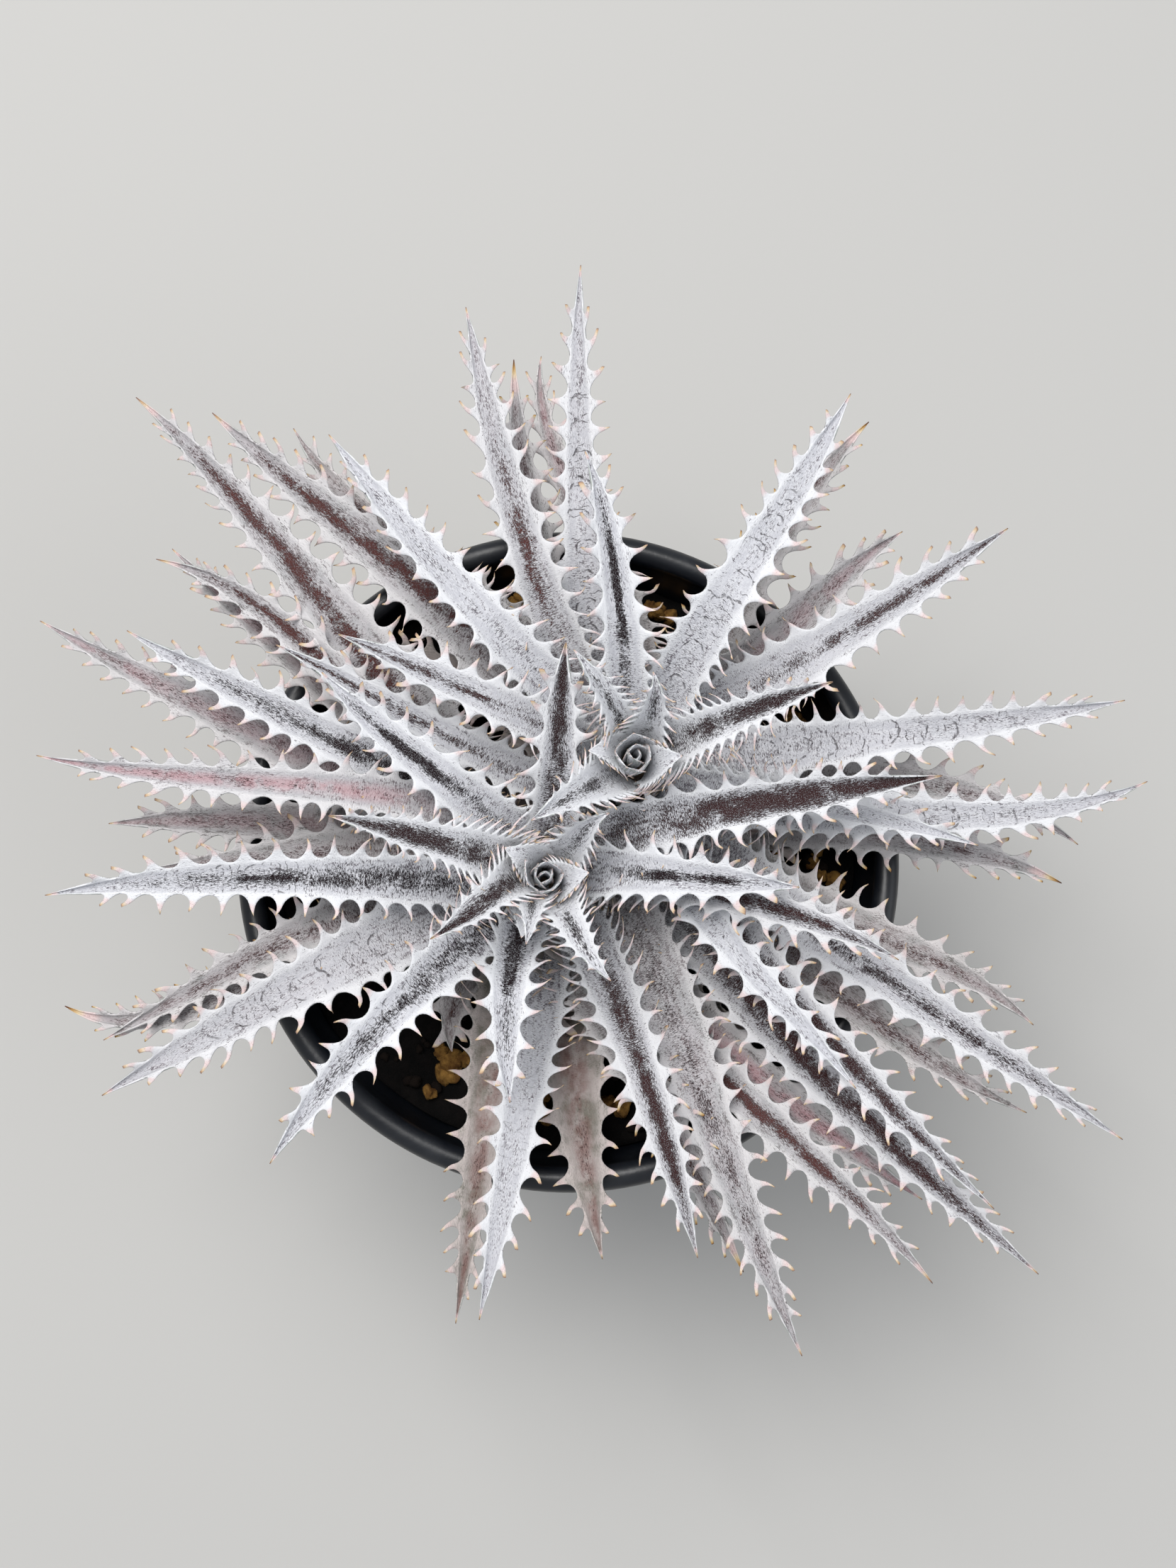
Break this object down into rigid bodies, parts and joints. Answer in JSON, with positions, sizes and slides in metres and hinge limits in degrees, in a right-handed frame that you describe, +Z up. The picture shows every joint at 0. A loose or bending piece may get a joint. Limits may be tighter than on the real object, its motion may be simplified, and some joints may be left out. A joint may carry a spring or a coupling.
{
  "type": "potted dyckia bromeliad",
  "caption": "Silver dyckia bromeliad with two crowns of narrow, channelled, toothed leaves, growing in soil in a round black nursery pot.",
  "frame": {"origin": "middle of the underside of the pot, on the surface that it stands on", "axes": "+Z up; +X towards the crown side where the long leaves spread furthest to the right, +Y away from the side the plant is looked at from"},
  "size_m": [0.23, 0.225, 0.1612],
  "materials": {
    "pot_plastic": "black moulded polypropylene, satin, slightly dusty",
    "potting_soil": "dark crumbly potting compost with a few ochre clay granules, matt",
    "stem_bark": "dry brown stem with remains of leaf bases, matt",
    "leaf_fur": "stiff succulent leaf under a silver-white felt of scales, with dark freckles and tan spines",
    "young_leaf_fur": "young leaves, denser silver felt with pink tooth bases and tan spines"
  },
  "bodies": {
    "root": {"pot": "pot_plastic", "soil": "potting_soil", "stem": "stem_bark", "heart_a": "young_leaf_fur", "heart_b": "young_leaf_fur", "leaf_01": "leaf_fur", "leaf_02": "leaf_fur", "leaf_03": "leaf_fur", "leaf_04": "leaf_fur", "leaf_05": "leaf_fur", "leaf_06": "leaf_fur", "leaf_07": "leaf_fur", "leaf_08": "leaf_fur", "leaf_09": "leaf_fur", "leaf_10": "leaf_fur", "leaf_11": "leaf_fur", "leaf_12": "leaf_fur", "leaf_13": "leaf_fur", "leaf_14": "leaf_fur", "leaf_15": "leaf_fur", "leaf_16": "leaf_fur", "leaf_17": "leaf_fur", "leaf_18": "leaf_fur", "leaf_19": "leaf_fur", "leaf_20": "leaf_fur", "leaf_21": "leaf_fur", "leaf_22": "leaf_fur", "leaf_23": "leaf_fur", "leaf_24": "leaf_fur", "leaf_25": "leaf_fur", "leaf_26": "leaf_fur", "leaf_27": "leaf_fur", "leaf_28": "leaf_fur", "leaf_29": "leaf_fur", "leaf_30": "leaf_fur", "leaf_31": "leaf_fur", "leaf_32": "leaf_fur", "leaf_33": "leaf_fur", "leaf_34": "leaf_fur", "leaf_35": "leaf_fur", "leaf_36": "leaf_fur", "leaf_37": "leaf_fur", "leaf_38": "leaf_fur", "leaf_39": "leaf_fur", "leaf_40": "leaf_fur", "leaf_41": "leaf_fur", "leaf_42": "leaf_fur", "leaf_43": "leaf_fur", "leaf_44": "leaf_fur", "leaf_45": "leaf_fur", "leaf_46": "leaf_fur", "leaf_47": "leaf_fur", "leaf_48": "leaf_fur", "leaf_49": "leaf_fur", "leaf_50": "leaf_fur", "leaf_51": "leaf_fur", "leaf_52": "leaf_fur", "leaf_53": "leaf_fur"}
  },
  "joints": []
}
